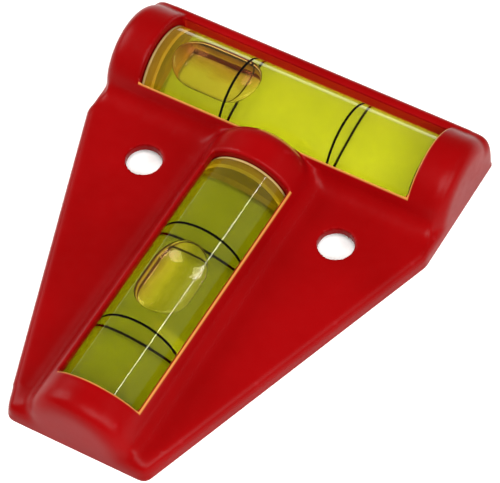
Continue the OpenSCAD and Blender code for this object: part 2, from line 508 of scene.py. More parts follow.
# %% Measures
VIAL_RADIUS = 6.1
BARREL_LENGTH = 39.8
VIAL_LENGTH = 40.6
VIAL_WALL = 0.9
VIAL_END_WALL = 1.5
VIAL_SEAT = 1.1
VIAL_FOOT = 1.0
VIAL_Z = VIAL_SEAT + VIAL_FOOT
BORE_RADIUS = 5.2
BORE_CROWN = 0.25
LINE_MIDDLE = 19.7
LINE_PITCH = 15.9
LINE_WIDTH = 0.3
LINE_DEPTH = 0.2
POCKET_RADIUS = 6.25
POCKET_GAP = 0.15
RIDGE_RADIUS = 7.3
RIDGE_SHIFT = 0.35
HEAD_Y = 23.675
STEM_Y = 11.775


def at_head(piece, shift=0.0):
    """Moves a piece from the vial's own frame to its place in the head."""
    return moved(piece, (-LINE_MIDDLE, HEAD_Y + shift, VIAL_Z))


def at_stem(piece):
    """Moves a piece from the vial's own frame to its place in the stem."""
    return moved(piece, (0, STEM_Y, VIAL_Z), turn=-90)


print("the head's vial lies at y", HEAD_Y, "and the stem's starts at y", STEM_Y)

# %% [markdown]
# ## The tray
# The moulding's base is a flat tray with a T-like outline: wide at the head, tapering to the stem's end. A
# six-cornered circle is pulled into that outline one corner at a time, its corners are rounded by a
# vertex bevel, and an extrusion gives it height. The upper edge has a wide soft rounding.

# %% Draw the outline
BODY_WIDTH = 50.3
BODY_LENGTH = 62.95
HEAD_DEPTH = 18.4
STEM_END_WIDTH = 20.0
SLOPE = math.atan((BODY_WIDTH - STEM_END_WIDTH) / 2 / (BODY_LENGTH - HEAD_DEPTH))


def outline(inset):
    """The six sharp corners of the outline, moved inwards, with the bend at each of them."""
    near = (
        STEM_END_WIDTH / 2 + inset * (math.tan(SLOPE) - 1 / math.cos(SLOPE)),
        inset - BODY_LENGTH / 2,
    )
    shoulder = (
        BODY_WIDTH / 2 - inset,
        BODY_LENGTH / 2 - HEAD_DEPTH + inset * math.tan(SLOPE / 2),
    )
    back = (BODY_WIDTH / 2 - inset, BODY_LENGTH / 2 - inset)
    right = [(near, math.pi / 2 - SLOPE), (shoulder, SLOPE), (back, math.pi / 2)]
    left = [((-x, y), bend) for (x, y), bend in reversed(right)]
    return right + left


print("the sides lean by", round(math.degrees(SLOPE), 1), "degrees")

# %% Shape the tray
TRAY_HEIGHT = 2.6
CORNER_RADIUS = 1.25
EDGE_RADIUS = 1.2
TIGHTEST = 0.1


def slab(inset, low, high):
    """The tray's outline, moved inwards, as a plate with rounded corners."""
    corners = outline(inset)
    plate = added(
        bpy.ops.mesh.primitive_circle_add,
        vertices=len(corners),
        radius=BODY_WIDTH,
        fill_type="NGON",
        location=(0, 0, low),
    )
    for number, (place, bend) in enumerate(corners):
        here = plate.data.vertices[number].co.copy()
        pulled(plate, lambda v: v.index == number, Vector((*place, low)) - here)
    for place, bend in corners:
        reach = max(CORNER_RADIUS - inset, TIGHTEST) * math.tan(bend / 2)
        rounded(plate, lambda v: (v.co.xy - Vector(place)).length < TOUCH, reach, kind="VERT")
    open_with(plate)
    bpy.ops.mesh.extrude_region_move(TRANSFORM_OT_translate={"value": (0, 0, high - low)})
    close()
    outward(plate)
    return plate


tray = slab(0, -SPARE, TRAY_HEIGHT)
rounded(tray, lambda e: all(v.co.z > TRAY_HEIGHT - TOUCH for v in e.verts), EDGE_RADIUS)
print(count(tray))

# %% [markdown]
# ## Ridges
# Each vial lies under a half-round ridge with softly rounded ends. The stem's ridge starts at the near edge
# of the head's window. That end is rounder than the others, so that it dips to the window in a low arch.

# %% Shape the ridges
HEAD_RIDGE = (-5.45, 44.85)
STEM_RIDGE = (-6.0, 43.25)
HEAD_ROUNDING = (2.0, 2.0)
STEM_ROUNDING = (3.1, 2.0)
HEAD_FOOT = -VIAL_Z - 0.5 * SPARE
STEM_FOOT = -VIAL_Z - 0.7 * SPARE

head_ridge = at_head(arched_bar(*HEAD_RIDGE, RIDGE_RADIUS, HEAD_FOOT, HEAD_ROUNDING), RIDGE_SHIFT)
stem_ridge = at_stem(arched_bar(*STEM_RIDGE, RIDGE_RADIUS, STEM_FOOT, STEM_ROUNDING))
print(count(head_ridge), count(stem_ridge), sep="\n")

# %% [markdown]
# ## The upright back
# Behind its ridge the head has an upright wall, a straight edge to set against things. It is a block whose
# upper edges are bevelled, widely at the two ends and less along the back. Behind the window the ridge is
# levelled to the same height later.

# %% Shape the back wall
BACK_HEIGHT = 6.1
BACK_RADIUS = 1.2
BACK_ENDS = 1.9
BACK_EDGE = BODY_LENGTH / 2
back_wall = block(
    (-BODY_WIDTH / 2, HEAD_Y, -0.8 * SPARE),
    (BODY_WIDTH / 2, BACK_EDGE, BACK_HEIGHT),
)


def at_wall_end(edge):
    """Tells the two upper edges at the wall's ends."""
    first, second = (v.co for v in edge.verts)
    return min(first.z, second.z) > BACK_HEIGHT - TOUCH and abs(first.x + second.x) > TOUCH


def along_the_back(edge):
    """Tells the back edges above the floor, which run over the wall's rounded ends."""
    return all(v.co.y > BACK_EDGE - TOUCH and v.co.z > 0 for v in edge.verts)


rounded(back_wall, at_wall_end, BACK_ENDS, 12)
rounded(back_wall, along_the_back, BACK_RADIUS)
print(count(back_wall))

# %% [markdown]
# ## The valley behind the ridge
# On the moulding the ridge's ends run into the wall without a valley between them. A wedge along the line
# that touches both rounds fills it. The line stands square to a direction that both rounds share, and
# that direction follows from the two radii and the distance between the rounds' middles.

# %% Fill the valley
WEDGE_INSET = 2.0
WEDGE_DROP = 0.3
WEDGE_HALF = BODY_WIDTH / 2 - WEDGE_INSET
ridge_middle = Vector((HEAD_Y + RIDGE_SHIFT, VIAL_Z))
edge_middle = Vector((BACK_EDGE - BACK_RADIUS, BACK_HEIGHT - BACK_RADIUS))
apart = edge_middle - ridge_middle
lean = math.atan2(apart.y, apart.x) + math.acos((RIDGE_RADIUS - BACK_RADIUS) / apart.length)
square = Vector((math.cos(lean), math.sin(lean)))
top = ridge_middle + square * (RIDGE_RADIUS - WEDGE_DROP)
end = edge_middle + square * (BACK_RADIUS - WEDGE_DROP)
wedge = block((-WEDGE_HALF, top.x, VIAL_Z), (WEDGE_HALF, end.x, top.y))
pulled(
    wedge,
    lambda v: v.co.y > end.x - TOUCH and v.co.z > top.y - TOUCH,
    (0, 0, end.y - top.y),
)
combine(back_wall, wedge, "UNION")
print(count(back_wall))

# %% [markdown]
# ## Skirts
# Where a ridge meets the tray there is a hollow skirt, as a mould maker leaves one so that the plastic
# flows. A skirt is a square bar with a round bar taken out of its outer corner. It is kept inside the
# tray's outline by what it shares with a smaller slab.

# %% Shape the skirts
SKIRT_RADIUS = 3.0
SKIRT_INSET = 1.0
skirt_z = TRAY_HEIGHT - VIAL_Z + SKIRT_RADIUS
skirt_y = math.sqrt((RIDGE_RADIUS + SKIRT_RADIUS) ** 2 - skirt_z**2)
skirt_top = RIDGE_RADIUS * skirt_z / (RIDGE_RADIUS + SKIRT_RADIUS)


def skirt(start, end):
    """The hollow skirt along one side of a ridge."""
    bar = block((start, RIDGE_RADIUS - 2 * SPARE, -SPARE), (end, skirt_y, skirt_top))
    hollow = round_bar(start - SPARE, end + SPARE, SKIRT_RADIUS)
    combine(bar, moved(hollow, (0, skirt_y, skirt_z)), "DIFFERENCE")
    return bar


near_skirt = at_head(moved(skirt(-HEAD_RIDGE[1], -HEAD_RIDGE[0]), turn=180), RIDGE_SHIFT)
left_skirt = at_stem(moved(skirt(-STEM_RIDGE[1], -STEM_RIDGE[0]), turn=180))
right_skirt = at_stem(skirt(*STEM_RIDGE))
for piece in (near_skirt, left_skirt, right_skirt):
    combine(piece, slab(SKIRT_INSET, -2 * SPARE, 4 * RIDGE_RADIUS), "INTERSECT")
    print(count(piece))

# %% [markdown]
# ## Windows and screw holes
# The parts of the shell are merged, and the windows and screw holes are sunk into it. The stem's window has
# a higher lip on its left side than on its right, and its near end leans outwards above the lip, so it is
# cut twice: straight down, and once more from the lip's height, a little wider and with the leaning end.

# %% Merge and cut the windows
WINDOW_HALF = 5.95
HEAD_WINDOW = (-0.1, 39.5)
HEAD_NEAR = 5.8
STEM_WINDOW = (0.0, 37.65)
STEM_LEFT = 5.0
STEM_LIP = WINDOW_HALF + 0.25
STEM_LEAN = 0.22
LIP_HEIGHT = 3.5
SLOT_FLOOR = -1.1
ABOVE = 12.0

body = tray
for piece in (head_ridge, back_wall, stem_ridge, near_skirt, left_skirt, right_skirt):
    combine(body, piece, "UNION")


def window(start, end, left=WINDOW_HALF, right=WINDOW_HALF, low=SLOT_FLOOR, lean=0.0):
    """The opening over a vial. Its end can lean outwards, by so much for each millimetre of height."""
    opening = block((start, -left, low), (end, right, ABOVE))
    pulled(
        opening,
        lambda v: v.co.x > end - TOUCH and v.co.z > ABOVE - TOUCH,
        (lean * (ABOVE - low), 0, 0),
    )
    return opening


ledge = block((HEAD_WINDOW[0], 0, BACK_HEIGHT - VIAL_Z), (HEAD_WINDOW[1], 2 * RIDGE_RADIUS, ABOVE))
leaning = window(*STEM_WINDOW, STEM_LEFT, STEM_LIP, LIP_HEIGHT, STEM_LEAN)
for opening in (
    at_head(window(*HEAD_WINDOW, HEAD_NEAR)),
    at_head(ledge),
    at_stem(window(*STEM_WINDOW, STEM_LEFT)),
    at_stem(leaning),
):
    combine(body, opening, "DIFFERENCE")
print(count(body))

# %% Cut the screw holes
HOLE_RADIUS = 2.4
HOLE_CUT = 4.0
HOLE_SIDES = 64
HOLES = [(-14.2, 9.325), (14.2, 9.325)]
for x, y in HOLES:
    hole = added(
        bpy.ops.mesh.primitive_cylinder_add,
        vertices=HOLE_SIDES,
        radius=HOLE_RADIUS,
        depth=HOLE_CUT,
        location=(x, y, TRAY_HEIGHT),
    )
    combine(body, hole, "DIFFERENCE")
print(count(body))

# %% [markdown]
# ## One moulding
# The whole skin is remeshed in small even squares and smoothed: that rounds every edge a little, as on
# plastic from a mould, where bevels on each crossing would be hard to place. Three regions get more passes,
# on a group of their points: the head's ends, the stem's end, and the corners where the two ridges cross.
# The foot under z = 0 is sliced off.

# %% Soften the skin
SKIN_GRID = 0.25
SKIN_PASSES = 4
SMOOTHING = 0.5
apply_step(body, "REMESH", mode="VOXEL", voxel_size=SKIN_GRID)
apply_step(body, "SMOOTH", factor=SMOOTHING, iterations=SKIN_PASSES)


def soften(piece, name, passes, wanted):
    """Smooths only the wanted points of a piece, more often than the rest."""
    group = piece.vertex_groups.new(name=name)
    group.add([v.index for v in piece.data.vertices if wanted(v.co)], 1.0, "REPLACE")
    apply_step(piece, "SMOOTH", factor=SMOOTHING, iterations=passes, vertex_group=name)


print(count(body))

# %% Soften the ends and the crossing
ENDS_LOW = 0.6
HEAD_ENDS = 22.0
SHOULDER = 14.0
HEAD_PASSES = 24
STEM_END = -27.8
STEM_PASSES = 60
CROSSING_X = (5.0, 13.0)
CROSSING_Y = (12.3, 17.2)
CROSSING_PASSES = 40


def at_head_ends(p):
    return p.z > ENDS_LOW and abs(p.x) > HEAD_ENDS and p.y > SHOULDER


def at_stem_end(p):
    return p.z > ENDS_LOW and p.y < STEM_END


def at_crossing(p):
    across = CROSSING_X[0] < abs(p.x) < CROSSING_X[1]
    return p.z > TRAY_HEIGHT and across and CROSSING_Y[0] < p.y < CROSSING_Y[1]


soften(body, "head_ends", HEAD_PASSES, at_head_ends)
soften(body, "stem_end", STEM_PASSES, at_stem_end)
soften(body, "crossing", CROSSING_PASSES, at_crossing)
keep_above(body, 0)
print(count(body))

# %% [markdown]
# ## The back
# From behind, the moulding is hollow. Walls of even thickness keep it from sinking in as it cools: the
# tray is hollowed up to the web, each vial has an open pocket, and the solid ends of the ridges are cored.
# All these cuts lie apart, so they are gathered into one tool and cut in one go.

# %% Hollow the back
RIM_WALL = 1.6
WEB_UNDERSIDE = 1.4
CORE_RADIUS = 4.95
FOOT = -VIAL_Z - 2 * SPARE
HEAD_CORES = [(-4.05, -1.45), (42.05, 43.45)]
STEM_CORES = [(-4.35, -1.45)]
pocket = (-POCKET_GAP, VIAL_LENGTH + POCKET_GAP, POCKET_RADIUS, FOOT)

hollow = slab(RIM_WALL, -SPARE, WEB_UNDERSIDE)
combine(hollow, at_head(arched_bar(*HEAD_RIDGE, RIDGE_RADIUS, FOOT), RIDGE_SHIFT), "DIFFERENCE")
combine(hollow, at_stem(arched_bar(*STEM_RIDGE, RIDGE_RADIUS, FOOT)), "DIFFERENCE")
tools = [hollow, at_head(arched_bar(*pocket)), at_stem(arched_bar(*pocket))]
tools += [at_head(arched_bar(*core, CORE_RADIUS, FOOT)) for core in HEAD_CORES]
tools += [at_stem(arched_bar(*core, CORE_RADIUS, FOOT)) for core in STEM_CORES]
combine(body, gathered(tools), "DIFFERENCE")
print(count(body))

# %% [markdown]
# ## Snap lugs
# Small lugs in the pockets' side walls hold each vial up against the edges of its window. One lug is a
# bar with its lower inner edge bevelled, so that the vial can be pushed past it. It is copied eight times.

# %% Add the lugs
LUG_EDGE = 5.75
LUG_ROOT = 6.775
LUG_TOP = -VIAL_FOOT - 0.05
LUG_LOW = LUG_TOP - 0.8
LUG_BEVEL = 0.5
LUG_LENGTH = 5.0
LUG_PITCH = 22.0
lug = block((0, LUG_EDGE, LUG_LOW), (LUG_LENGTH, LUG_ROOT, LUG_TOP))
rounded(
    lug,
    lambda e: all(v.co.y < LUG_EDGE + TOUCH and v.co.z < LUG_LOW + TOUCH for v in e.verts),
    LUG_BEVEL,
    2,
)
lugs = []
for place in (at_head, at_stem):
    for middle in (VIAL_LENGTH / 2 - LUG_PITCH / 2, VIAL_LENGTH / 2 + LUG_PITCH / 2):
        far = moved(copy_of(lug), (middle - LUG_LENGTH / 2, 0, 0))
        near = moved(copy_of(lug), (middle + LUG_LENGTH / 2, 0, 0), turn=180)
        lugs += [place(far), place(near)]
bpy.data.objects.remove(lug)
combine(body, gathered(lugs), "UNION")
print(count(body))

# %% [markdown]
# ## Red plastic
# The body is glossy plastic coloured right through. Its red is deep, with a slow drift in depth where the
# plastic has flowed, a fine skin from the mould, and a little wear along the raised edges, where
# handling has made it paler. Pointiness finds those edges from the mesh itself.

# %% Mix the red
RED_DEEP = (0.16, 0.0004, 0.0008)
RED_FRESH = (0.195, 0.0007, 0.0014)
RED_WORN = (0.24, 0.008, 0.011)
RAISED = (0.53, 0.62)
MOST_WORN = 0.35
red_plastic, red_shader = new_finish("red_plastic")
drift = blended(red_plastic, noise(red_plastic, 90, 3), RED_DEEP, RED_FRESH)
edges = node(red_plastic, "ShaderNodeNewGeometry")
wear = ramped(red_plastic, edges.outputs["Pointiness"], *RAISED, 0, MOST_WORN)
worn = painted(red_plastic, drift, wear, RED_WORN)
print("red from", RED_DEEP, "to", RED_FRESH)

# %% [markdown]
# ## Glowing lips, painted
# The thin lips of the windows let the vials' yellow shine through, and that glow is painted on them as
# orange, in a band of places just outside a window's right and near edges. Three more places get painted
# light from a vial. The stem's ridge has a painted glow along its arch, found by the way its skin faces. The
# wall behind the head's vial is painted a lighter, warmer red, and its foot gets the same painted orange
# glow.

# %% Find the lips of the windows
LIP_BAND = 0.2
LIP_START = (0.02, 0.08)
LIP_FADE = 0.1
LIP_LOW = 5.2
x, y, z = coordinates(red_plastic)


def lip(left, right, near, far, lean=0.0):
    """1 on the band along the right side and the near end of a window, where orange glow is painted, 0
    elsewhere. In millimetres.
    """
    aside = worked_out(red_plastic, "SUBTRACT", x, right * MM)
    height = worked_out(red_plastic, "SUBTRACT", z, (VIAL_Z + LIP_HEIGHT) * MM)
    rise = worked_out(red_plastic, "MAXIMUM", height, 0.0)
    shift = worked_out(red_plastic, "MULTIPLY", rise, lean)
    end = worked_out(red_plastic, "SUBTRACT", near * MM, shift)
    ahead = worked_out(red_plastic, "SUBTRACT", end, y)
    away = worked_out(red_plastic, "MAXIMUM", aside, ahead)
    return masked(
        red_plastic,
        "MULTIPLY",
        ramped(red_plastic, away, LIP_START[0] * MM, LIP_START[1] * MM),
        ramped(red_plastic, away, LIP_BAND * MM, (LIP_BAND + LIP_FADE) * MM, 1, 0),
        worked_out(red_plastic, "GREATER_THAN", z, LIP_LOW * MM),
        worked_out(red_plastic, "GREATER_THAN", x, left * MM),
        worked_out(red_plastic, "LESS_THAN", y, far * MM),
    )


head_sides = (HEAD_WINDOW[0] - LINE_MIDDLE, HEAD_WINDOW[1] - LINE_MIDDLE)
stem_ends = (STEM_Y - STEM_WINDOW[1], STEM_Y - STEM_WINDOW[0])
head_lip_glow = lip(*head_sides, HEAD_Y - HEAD_NEAR, HEAD_Y + WINDOW_HALF)
stem_lip_glow = lip(-STEM_LEFT, STEM_LIP, *stem_ends, STEM_LEAN)
print("painted_glow", LIP_BAND, "mm wide")

# %% Find the arch and the wall
ARCH_SPAN = (-1.0, 8.0)
ARCH_BAND = (15.5, HEAD_Y - HEAD_NEAR + 0.1)
ARCH_TURN = (0.6, 0.85)
ARCH_LOW = 6.3
BACK_INSIDE = (HEAD_Y + WINDOW_HALF - 0.15, HEAD_Y + WINDOW_HALF + 0.35)
WALL_SPAN = (3.2, 5.8)
FOOT_SPAN = (3.2, 4.2)
backward = coordinates(red_plastic, "Normal")["Y"]
# Painted glow along the stem's arch.
arch_lip_glow = masked(
    red_plastic,
    "MULTIPLY",
    within(red_plastic, x, *ARCH_SPAN),
    within(red_plastic, y, *ARCH_BAND),
    within(red_plastic, backward, *ARCH_TURN, unit=1),
    worked_out(red_plastic, "GREATER_THAN", z, ARCH_LOW * MM),
)
inside = masked(
    red_plastic,
    "MULTIPLY",
    within(red_plastic, x, *head_sides),
    within(red_plastic, y, *BACK_INSIDE),
)
# Painted light: the wall behind the head's vial is lighter where the vial's light falls on it.
wall_painted_light = masked(red_plastic, "MULTIPLY", inside, within(red_plastic, z, *WALL_SPAN))
# The foot of the wall gets the painted orange glow.
foot = masked(red_plastic, "MULTIPLY", inside, within(red_plastic, z, *FOOT_SPAN))
print("lit wall between", WALL_SPAN, "mm")

# %% Put the red on the body
# Painted light: the lighter red of the wall behind the head's vial.
PAINTED_WALL_LIGHT = (0.31, 0.009, 0.003)
# Painted glow: the orange of the lips, the arch and the wall's foot.
PAINTED_GLOW_ORANGE = (0.42, 0.17, 0.04)
RED_GLOSS = (0.28, 0.36)
SKIN_RELIEF = 0.02 * MM
painted_glow = masked(red_plastic, "MAXIMUM", head_lip_glow, stem_lip_glow, arch_lip_glow, foot)
wall_light_added = painted(red_plastic, worn, wall_painted_light, PAINTED_WALL_LIGHT)
red_looks = {
    "Base Color": painted(red_plastic, wall_light_added, painted_glow, PAINTED_GLOW_ORANGE),
    "Roughness": between(red_plastic, noise(red_plastic, 700, 4), *RED_GLOSS),
    "Normal": bumped(red_plastic, noise(red_plastic, 2500, 3), 0.06, SKIN_RELIEF),
}
for socket, source in red_looks.items():
    wire(red_plastic, source, red_shader.inputs[socket])
red_shader.inputs["IOR"].default_value = 1.5
red_shader.inputs["Specular IOR Level"].default_value = 0.05
finish_piece(body, "red_body", "level", "body", "red_plastic", red_plastic, crease=40)

# %% [markdown]
# ## Clear finishes
# Light bends where it passes from one clear stuff into another, and what counts is the ratio of their
# refractive indices. The acrylic's outside meets air, its bore meets the spirit, and the bubble is air
# inside the spirit. So the bore gets acrylic over spirit, the spirit's own skin bends nothing and only
# tints, and the bubble gets air over spirit. The clear pieces let the lamps through, so that
# the paper under the vials is lit. The acrylic's closed end is thick, and its amber is painted shade and a
# painted reflection of the red walls round it.

# %% Helpers for clear finishes
def lit_through(material, shader, tint):
    """Shows a clear shader to the eye, and a plain tinted film to the rays that look for a lamp."""
    film = node(material, "ShaderNodeBsdfTransparent", {"Color": (*tint, 1)})
    rays = node(material, "ShaderNodeLightPath")
    either = node(material, "ShaderNodeMixShader")
    wire(material, rays.outputs["Is Shadow Ray"], either.inputs["Fac"])
    wire(material, shader.outputs["BSDF"], either.inputs[1])
    wire(material, film.outputs["BSDF"], either.inputs[2])
    surface = material.node_tree.nodes["Material Output"].inputs["Surface"]
    wire(material, either.outputs["Shader"], surface)


def clear_finish(name, ior, first, second, film, rough=0):
    """A clear finish with a faint drift in its colour."""
    material, shader = new_finish(name)
    tint = blended(material, noise(material, 150), first, second)
    wire(material, tint, shader.inputs["Base Color"])
    wire(material, between(material, noise(material, 900), 0, rough), shader.inputs["Roughness"])
    shader.inputs["Transmission Weight"].default_value = 1
    shader.inputs["IOR"].default_value = ior
    lit_through(material, shader, film)
    return material


print("helpers for clear finishes ready")

# %% Make the acrylic and the spirit
ACRYLIC = 1.49
SPIRIT = 1.36
UNBENT = 1.0
POLISHED = 0.02
acrylic = clear_finish(
    "vial_acrylic", ACRYLIC, (0.72, 0.73, 0.33), (0.74, 0.74, 0.35), (0.74, 0.72, 0.62), POLISHED
)
# Painted shade and painted reflection: the thick end's amber stands in for the dim red walls seen through
# it.
thick_end_painted_shade = clear_finish(
    "thick_acrylic", ACRYLIC, (0.32, 0.24, 0.05), (0.40, 0.30, 0.07), (0.35, 0.25, 0.12), POLISHED
)
wetted = clear_finish(
    "bore_acrylic",
    ACRYLIC / SPIRIT,
    (0.97, 0.98, 0.95),
    (0.99, 0.99, 0.98),
    (0.98, 0.98, 0.97),
    POLISHED,
)
spirit_top = clear_finish(
    "spirit_top", UNBENT, (0.82, 0.84, 0.36), (0.86, 0.87, 0.42), (0.90, 0.91, 0.50)
)
# The head's and the stem's spirit are one dye in two copies: the head's is painted lighter and the stem's
# darker, painted light and painted shade.
lit_head_dye = clear_finish(
    "head_spirit", UNBENT, (0.373, 0.395, 0.098), (0.427, 0.444, 0.122), (0.80, 0.81, 0.15)
)
shaded_stem_dye = clear_finish(
    "stem_spirit", UNBENT, (0.16, 0.183, 0.0098), (0.196, 0.213, 0.0147), (0.65, 0.65, 0.08)
)
print("clear finishes", acrylic.name, wetted.name, lit_head_dye.name, shaded_stem_dye.name)

# %% [markdown]
# ## Matt faces of the vials
# The mould polishes only the round top of a vial. Its straight sides and its closed end are dull, and the
# sides take the colour of the dye behind them. The closed end's face is amber, a painted reflection of the
# red walls, painted lighter on the stem's vial, and the rim round it is paler, a painted highlight. The
# head's spirit is lit less at its right end, under the ridge, so its dye is painted lighter there.

# %% Make the matt finishes
BRIGHT_START = 6
BRIGHT_END = 20
PAINTED_LIGHT_SHARE = 1.45


def matt_finish(name, first, second):
    """A dull moulded face: the sides coloured by the dye behind them, the closed end's painted reflection
    and highlight.
    """
    material, shader = new_finish(name)
    tint = blended(material, noise(material, 400), first, second)
    wire(material, tint, shader.inputs["Base Color"])
    wire(material, between(material, noise(material, 900), 0.5, 0.7), shader.inputs["Roughness"])
    return material


def paint_light_along_x(material, start, end, share):
    """Paints the colour lighter from a start to an end along X: painted light. In millimetres."""
    socket = material.node_tree.nodes["Principled BSDF"].inputs["Base Color"]
    tint = socket.links[0].from_socket
    rise = ramped(material, coordinates(material)["X"], start * MM, end * MM, 1, share)
    scaled = node(material, "ShaderNodeVectorMath", operation="SCALE")
    wire(material, tint, scaled.inputs["Vector"])
    wire(material, rise, scaled.inputs["Scale"])
    wire(material, scaled.outputs["Vector"], socket)


matt_sides = matt_finish("matt_sides", (0.34, 0.35, 0.03), (0.42, 0.42, 0.04))
# Painted reflection of the red walls on the closed end's face. The stem's copy is painted lighter too, as
# painted light.
end_painted_reflection = matt_finish("end_painted_reflection", (0.42, 0.24, 0.05), (0.48, 0.29, 0.06))
stem_end_painted_light = matt_finish("stem_end_painted_light", (0.50, 0.35, 0.035), (0.58, 0.41, 0.04))
# Painted highlight on the rim round the closed end.
rim_painted_highlight = matt_finish("rim_painted_highlight", (0.27, 0.18, 0.06), (0.34, 0.23, 0.08))
# Painted light on the head's dye towards its right end, against the ridge's shade on the paper.
paint_light_along_x(lit_head_dye, BRIGHT_START, BRIGHT_END, PAINTED_LIGHT_SHARE)
print("matt finishes", matt_sides.name, end_painted_reflection.name, stem_end_painted_light.name, rim_painted_highlight.name)

# %% [markdown]
# ## Air
# A bubble leaves less dye in the way, and its glass colour goes over 1, painted light that makes it brighter
# than the spirit round it. It works as a lens too. Its long streaks are painted: pale painted highlights,
# and amber painted reflections of the red sides. A colour ramp across the vial makes the streaks, and noise
# lets their edges wander.

# %% Make the air
AIR_HALF = 3.4
AIR_ROUGHNESS = 0.05
WANDER = 0.25


def air_with_painted_light(name, axis, middle, painted_streaks):
    """Air in the spirit, with painted light. Each streak has a place across the vial in millimetres, and the
    share of red, green and blue light that it passes. Shares over 1 are painted light, and the amber streaks
    are painted reflections."""
    material, plain = new_finish(name)
    material.node_tree.nodes.remove(plain)
    glass = node(material, "ShaderNodeBsdfGlass", {"IOR": 1 / SPIRIT, "Roughness": AIR_ROUGHNESS})
    sides = ((middle - AIR_HALF) * MM, (middle + AIR_HALF) * MM)
    across = ramped(material, coordinates(material)[axis], *sides, -WANDER / 2, 1 - WANDER / 2)
    drift = worked_out(material, "MULTIPLY", noise(material, 350), WANDER)
    ramp = node(material, "ShaderNodeValToRGB")
    stops = ramp.color_ramp.elements
    while len(stops) < len(painted_streaks):
        stops.new(0.5)
    for stop, (place, share) in zip(stops, painted_streaks):
        stop.position = (place + AIR_HALF) / (2 * AIR_HALF)
        stop.color = (*share, 1)
    wire(material, worked_out(material, "ADD", across, drift), ramp.inputs["Fac"])
    wire(material, ramp.outputs["Color"], glass.inputs["Color"])
    lit_through(material, glass, (1, 1, 1))
    return material


# The streaks are painted light: pale painted highlights and amber painted reflections of the red sides.
air_in_head = air_with_painted_light("head_air", "Y", HEAD_Y, [
    (-3.3, (1.25, 1.15, 1.7)),
    (0.0, (1.2, 1.1, 1.65)),
    (1.8, (1.0, 0.68, 0.75)),
    (3.3, (0.95, 0.58, 0.55)),
])
air_in_stem = air_with_painted_light("stem_air", "X", 0, [
    (-3.2, (1.1, 0.85, 1.1)),
    (-1.5, (1.72, 1.56, 2.4)),
    (0.5, (1.28, 1.25, 0.9)),
    (2.4, (1.45, 1.42, 2.7)),
])
print("air", air_in_head.name, air_in_stem.name)

# %% [markdown]
# ## The vial
# A vial is a half-round bar of clear acrylic with a bore that is a little wider in the middle, so that the
# bubble has a highest place to go to. The bore starts as a disc that is extruded in steps, each step
# scaled to the bore's width there. Shallow grooves round the outside hold the ink of the level lines.

# %% Helpers for the vial
BORE_STEPS = 16


def bore_width(u):
    """The bore's radius at a distance from the closed end."""
    return BORE_RADIUS - BORE_CROWN * ((u - LINE_MIDDLE) / (BARREL_LENGTH - LINE_MIDDLE)) ** 2


def chamber(start, end, gap):
    """The crowned space in the bore, made smaller by a gap all round."""
    space = added(
        bpy.ops.mesh.primitive_circle_add,
        vertices=BAR_SIDES,
        radius=bore_width(start) - gap,
        fill_type="NGON",
        location=(start, 0, 0),
        rotation=(0, math.pi / 2, 0),
    )
    open_with(space)
    step = (end - start) / BORE_STEPS
    for number in range(BORE_STEPS):
        u = start + step * number
        grow = (bore_width(u + step) - gap) / (bore_width(u) - gap)
        bpy.ops.mesh.extrude_region_move(TRANSFORM_OT_translate={"value": (step, 0, 0)})
        bpy.ops.transform.resize(value=(1, grow, grow), center_override=(u + step, 0, 0))
    close()
    outward(space)
    return keep_above(space, VIAL_WALL - VIAL_FOOT + gap)


def band(side, outward_by, inward_by, width):
    """A band round the vial's whole section at one of the level lines."""
    u = LINE_MIDDLE + side * LINE_PITCH / 2
    ring = arched_bar(
        u - width / 2, u + width / 2, VIAL_RADIUS + outward_by, -VIAL_FOOT - outward_by
    )
    core = arched_bar(u - width, u + width, VIAL_RADIUS - inward_by, -VIAL_FOOT + inward_by)
    combine(ring, core, "DIFFERENCE")
    return ring


print("bore", bore_width(LINE_MIDDLE), "mm at its middle,", bore_width(BARREL_LENGTH), "mm at its end")

# %% Shape the vial
VIAL_ROUNDING = (0.2, 0.2)
RIM = 0.4
CLOSED_END = VIAL_END_WALL - 0.1
STRAIGHT_END = BARREL_LENGTH - 0.4
VIAL_FINISHES = [acrylic, wetted, thick_end_painted_shade, matt_sides, end_painted_reflection, rim_painted_highlight]

vial = arched_bar(0, BARREL_LENGTH, VIAL_RADIUS, -VIAL_FOOT, VIAL_ROUNDING)
bore = chamber(VIAL_END_WALL, BARREL_LENGTH + SPARE, 0)
for piece in (vial, bore):
    for finish in VIAL_FINISHES:
        piece.data.materials.append(finish)
refinish(bore, wetted)
combine(vial, bore, "DIFFERENCE")
for side in (-1, 1):
    combine(vial, band(side, SPARE, LINE_DEPTH, LINE_WIDTH), "DIFFERENCE")
for u in (RIM, CLOSED_END, STRAIGHT_END):
    open_with(vial)
    bpy.ops.mesh.bisect(plane_co=(u, 0, 0), plane_no=(1, 0, 0))
    close()
print(count(vial))

# %% [markdown]
# The faces that aren't polished are told by where they lie and which way they face. Each later choice
# overrides the ones before it: first the whole closed end, then the straight sides, the end's own face
# with its underside, which takes the painted reflection, and last the upper part of the rim, which takes
# the painted highlight.

# %% Finish the vial's faces
SIDEWAYS = 0.97
SIDE_SKIN = 0.3
AWAY = -0.9
UPWARDS = 0.3


def in_closed_end(face):
    return face.calc_center_median().x < CLOSED_END


def on_side(face):
    return abs(face.normal.y) > SIDEWAYS and abs(face.calc_center_median().y) > VIAL_RADIUS - SIDE_SKIN


def on_end(face):
    return min(face.normal.x, face.normal.z) < AWAY and in_closed_end(face)


def on_rim(face):
    return face.normal.z > UPWARDS and face.calc_center_median().x < RIM


refinish(vial, thick_end_painted_shade, in_closed_end)
refinish(vial, matt_sides, on_side)
refinish(vial, end_painted_reflection, on_end)
refinish(vial, rim_painted_highlight, on_rim)
print("finishes on the vial:", len(vial.data.materials))

